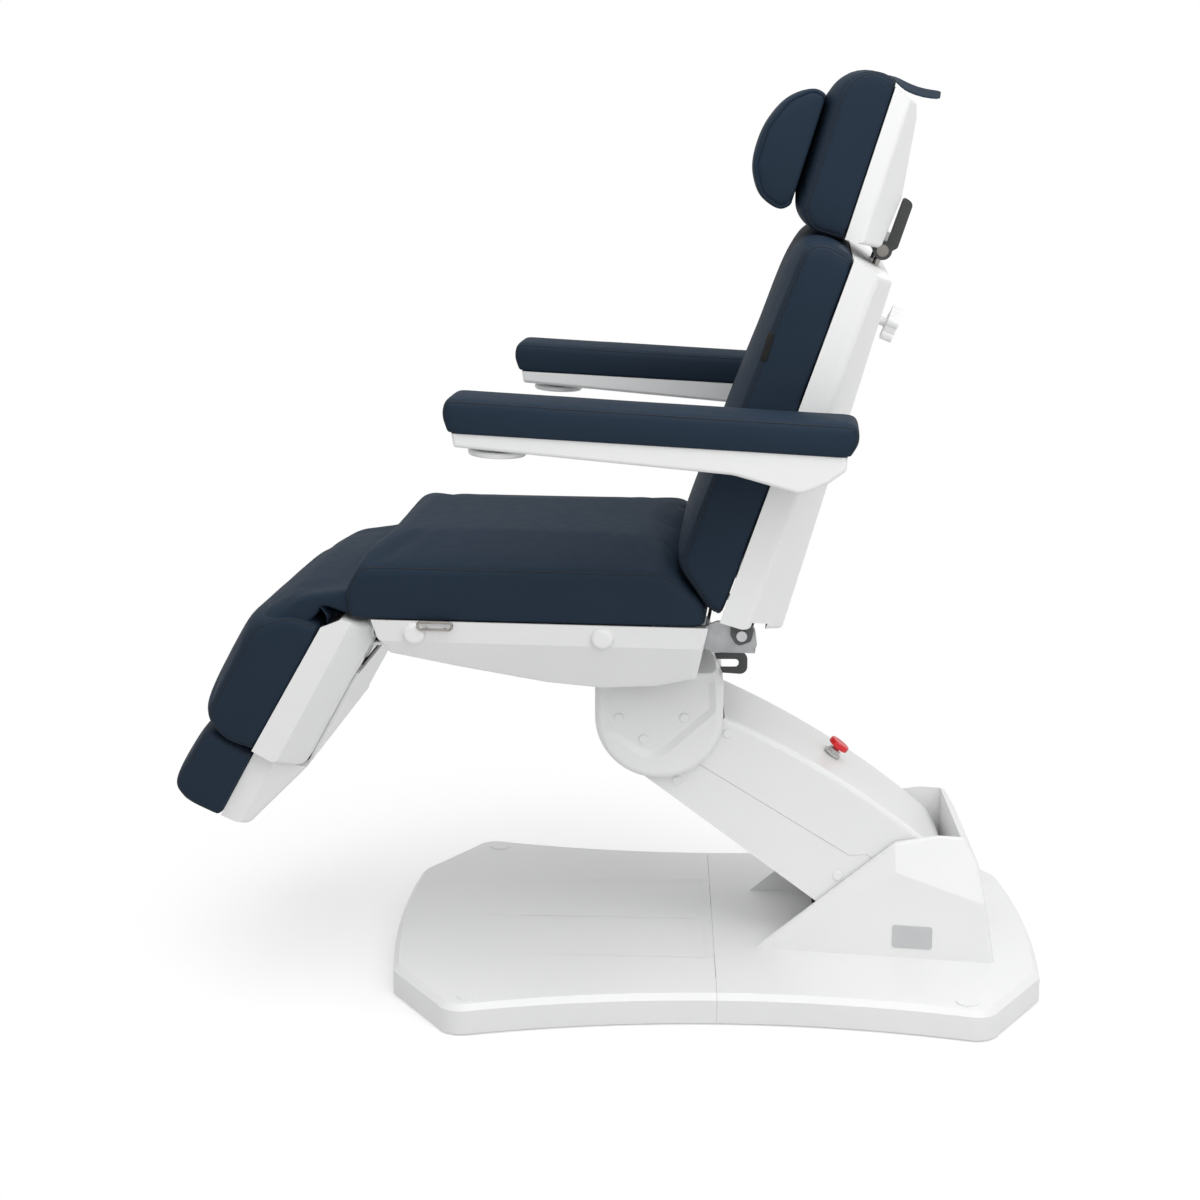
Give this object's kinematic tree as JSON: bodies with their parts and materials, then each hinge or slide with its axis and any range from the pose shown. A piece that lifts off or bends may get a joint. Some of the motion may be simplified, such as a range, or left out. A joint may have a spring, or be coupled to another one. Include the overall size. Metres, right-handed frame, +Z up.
{
  "type": "procedure_chair",
  "caption": "Electric procedure chair with a lifting arm on a plate base, reclining navy upholstery, level-holding armrests, legrest with extension and adjustable headrest",
  "frame": {"origin": "floor under the middle of the chair's outer box in its rest pose", "axes": "+X to the head end, +Y to the sitter's right, +Z up"},
  "size_m": [1.3853, 0.8656, 1.4371],
  "materials": {
    "steel_painted": "grey powder coat on fabricated steel",
    "plastic_white": "white satin moulded shells",
    "plastic_grey": "light grey satin plastic",
    "plastic_black": "black satin plastic",
    "rubber_black": "black rubber",
    "plastic_red": "red gloss plastic",
    "steel_bright": "bright turned steel",
    "chrome": "polished chrome",
    "vinyl_navy": "navy grained vinyl with matching stitching"
  },
  "bodies": {
    "base": {"base_frame": "steel_painted", "base_cover_front": "plastic_white", "base_cover_rear": "plastic_white", "levelling_feet": "rubber_black", "foot_caps": "plastic_white", "mains_inlet": "plastic_black", "control_unit": "plastic_grey", "base_pivot_pins": "steel_bright"},
    "mains_switch": {"mains_switch": "plastic_black"},
    "lift_arm": {"lift_arm_beam": "steel_painted", "arm_cover_upper": "plastic_white", "arm_cover_lower": "plastic_white", "arm_cover_caps": "plastic_white", "estop_collar": "plastic_white"},
    "lift_drive": {"lift_actuator": "plastic_black"},
    "lift_rod": {"lift_actuator_rod": "steel_bright"},
    "estop": {"estop_button": "plastic_red"},
    "link": {"parallel_link": "steel_painted"},
    "yoke": {"yoke_frame": "steel_painted", "yoke_cover_left": "plastic_white", "yoke_cover_right": "plastic_white", "yoke_cover_caps": "plastic_white", "yoke_pivot_pins": "steel_bright"},
    "lock_lever": {"swivel_lock_lever": "steel_painted"},
    "carrier": {"swivel_plate": "steel_painted"},
    "seat": {"seat_frame": "steel_painted", "seat_tray": "plastic_white", "seat_cushion": "vinyl_navy", "seat_tray_caps": "plastic_white", "wire_loops": "chrome", "back_hinge_brackets": "steel_painted", "seat_hinge_pins": "steel_bright", "seat_actuators": "plastic_black", "knee_flap": "vinyl_navy"},
    "tilt_rod": {"tilt_actuator_rod": "steel_bright"},
    "back_rod": {"back_actuator_rod": "steel_bright"},
    "leg_rod": {"leg_actuator_rod": "steel_bright"},
    "backrest": {"back_frame": "steel_painted", "back_shell": "plastic_white", "back_cushion": "vinyl_navy"},
    "clamp_knob": {"headrest_clamp_knob": "plastic_white"},
    "head_slide": {"headrest_rods": "chrome"},
    "headrest": {"headrest_shell": "plastic_white", "headrest_cushion": "vinyl_navy", "neck_pillow": "vinyl_navy"},
    "head_lever": {"headrest_tilt_lever": "plastic_black"},
    "legrest": {"leg_frame": "steel_painted", "leg_tray": "plastic_white", "leg_cushion": "vinyl_navy"},
    "footrest": {"foot_tray": "plastic_white", "foot_cushion": "vinyl_navy"},
    "hub_left": {"armrest_hub_left": "plastic_grey"},
    "rest_left": {"armrest_tray_left": "plastic_white", "armrest_pad_left": "vinyl_navy"},
    "knob_left": {"armrest_knob_left": "plastic_white"},
    "hub_right": {"armrest_hub_right": "plastic_grey"},
    "rest_right": {"armrest_tray_right": "plastic_white", "armrest_pad_right": "vinyl_navy"},
    "knob_right": {"armrest_knob_right": "plastic_white"}
  },
  "joints": [
    {"name": "lift", "type": "hinge", "parent": "base", "child": "lift_arm", "pos_m": [0.46268, 0.001, 0.15], "axis": [0, 1, 0], "range_deg": [-16, 23]},
    {"name": "yoke_level", "type": "hinge", "parent": "lift_arm", "child": "yoke", "pos_m": [0.07027, 0.001, 0.44678], "axis": [0, 1, 0], "range_deg": [-23, 16]},
    {"name": "link_swing", "type": "hinge", "parent": "base", "child": "link", "pos_m": [0.42268, 0.001, 0.086], "axis": [0, 1, 0], "range_deg": [-16, 23]},
    {"name": "lift_actuator_swing", "type": "hinge", "parent": "lift_arm", "child": "lift_drive", "pos_m": [0.19345, 0.001, 0.34108], "axis": [0, 1, 0], "range_deg": [-6, 6]},
    {"name": "lift_rod_slide", "type": "slide", "parent": "lift_drive", "child": "lift_rod", "axis": [0.6982, 0, -0.7159], "range_m": [-0.016, 0.02278]},
    {"name": "estop_push", "type": "slide", "parent": "lift_arm", "child": "estop", "axis": [-0.6032, 0, -0.7976], "range_m": [0, 0.004]},
    {"name": "mains_switch_rock", "type": "hinge", "parent": "base", "child": "mains_switch", "pos_m": [0.60592, 0.013, 0.096], "axis": [0, 1, 0], "range_deg": [-8, 8]},
    {"name": "swivel_lock", "type": "hinge", "parent": "yoke", "child": "lock_lever", "pos_m": [0.09227, -0.065, 0.51678], "axis": [0, 1, 0], "range_deg": [0, 10]},
    {"name": "swivel", "type": "hinge", "parent": "yoke", "child": "carrier", "pos_m": [0.07027, 0.001, 0.44678], "axis": [0, 0, 1], "range_deg": [-115.6, 124.4]},
    {"name": "seat_tilt", "type": "hinge", "parent": "carrier", "child": "seat", "pos_m": [0.11614, -0.00253, 0.59378], "axis": [0.0767, 0.9971, 0], "range_deg": [0, 12]},
    {"name": "tilt_rod_slide", "type": "slide", "parent": "seat", "child": "tilt_rod", "axis": [0.9971, -0.0767, 0], "range_m": [-0.0005, 0.00757]},
    {"name": "back_recline", "type": "hinge", "parent": "seat", "child": "backrest", "pos_m": [0.21385, -0.01005, 0.61878], "axis": [0.0767, 0.9971, 0], "range_deg": [0, 68]},
    {"name": "back_rod_slide", "type": "slide", "parent": "seat", "child": "back_rod", "axis": [0.9971, -0.0767, 0], "range_m": [-0.0676, 0.0005]},
    {"name": "leg_raise", "type": "hinge", "parent": "seat", "child": "legrest", "pos_m": [-0.4113, 0.03805, 0.60478], "axis": [0.0767, 0.9971, 0], "range_deg": [-6, 61], "deforming": ["knee_flap"]},
    {"name": "leg_rod_slide", "type": "slide", "parent": "seat", "child": "leg_rod", "axis": [-0.9971, 0.0767, 0], "range_m": [-0.00468, 0.04297]},
    {"name": "foot_extend", "type": "slide", "parent": "legrest", "child": "footrest", "axis": [-0.4834, 0.0372, -0.8746], "range_m": [0, 0.12]},
    {"name": "headrest_height", "type": "slide", "parent": "backrest", "child": "head_slide", "axis": [0.3735, -0.0287, 0.9272], "range_m": [0, 0.1]},
    {"name": "headrest_tilt", "type": "hinge", "parent": "head_slide", "child": "headrest", "pos_m": [0.40908, -0.02507, 1.17816], "axis": [0.0767, 0.9971, 0], "range_deg": [0, 45]},
    {"name": "headrest_release", "type": "hinge", "parent": "headrest", "child": "head_lever", "pos_m": [0.40908, -0.02507, 1.17816], "axis": [0.0767, 0.9971, 0], "range_deg": [0, 25]},
    {"name": "clamp_turn", "type": "hinge", "parent": "backrest", "child": "clamp_knob", "pos_m": [0.42083, -0.02598, 1.06015], "axis": [0.9245, -0.0711, -0.3746], "continuous": true},
    {"name": "armrest_level_left", "type": "hinge", "parent": "backrest", "child": "hub_left", "pos_m": [0.27979, -0.30598, 0.90444], "axis": [0.0767, 0.9971, 0], "range_deg": [-68, 0]},
    {"name": "armrest_flip_left", "type": "hinge", "parent": "hub_left", "child": "rest_left", "pos_m": [0.27749, -0.33589, 0.90444], "axis": [0.0767, 0.9971, 0], "range_deg": [0, 90]},
    {"name": "armrest_knob_turn_left", "type": "hinge", "parent": "rest_left", "child": "knob_left", "pos_m": [-0.16544, -0.33692, 0.92449], "axis": [0.0452, -0.0035, 0.999], "continuous": true},
    {"name": "armrest_level_right", "type": "hinge", "parent": "backrest", "child": "hub_right", "pos_m": [0.32429, 0.27231, 0.90444], "axis": [0.0767, 0.9971, 0], "range_deg": [-68, 0]},
    {"name": "armrest_flip_right", "type": "hinge", "parent": "hub_right", "child": "rest_right", "pos_m": [0.32659, 0.30222, 0.90444], "axis": [0.0767, 0.9971, 0], "range_deg": [0, 90]},
    {"name": "armrest_knob_turn_right", "type": "hinge", "parent": "rest_right", "child": "knob_right", "pos_m": [-0.11097, 0.37099, 0.92449], "axis": [0.0452, -0.0035, 0.999], "continuous": true}
  ],
  "couplings": [
    {"joint": "yoke_level", "follows": "lift", "ratio": -1},
    {"joint": "link_swing", "follows": "lift", "ratio": 1},
    {"joint": "lift_actuator_swing", "follows": "lift", "ratio": -0.16138},
    {"joint": "lift_rod_slide", "follows": "lift", "m_per_rad": 0.055509},
    {"joint": "tilt_rod_slide", "follows": "seat_tilt", "m_per_rad": 0.033752},
    {"joint": "back_rod_slide", "follows": "back_recline", "m_per_rad": -0.05654},
    {"joint": "leg_rod_slide", "follows": "leg_raise", "m_per_rad": 0.039892},
    {"joint": "armrest_level_left", "follows": "back_recline", "ratio": -1},
    {"joint": "armrest_level_right", "follows": "back_recline", "ratio": -1}
  ]
}
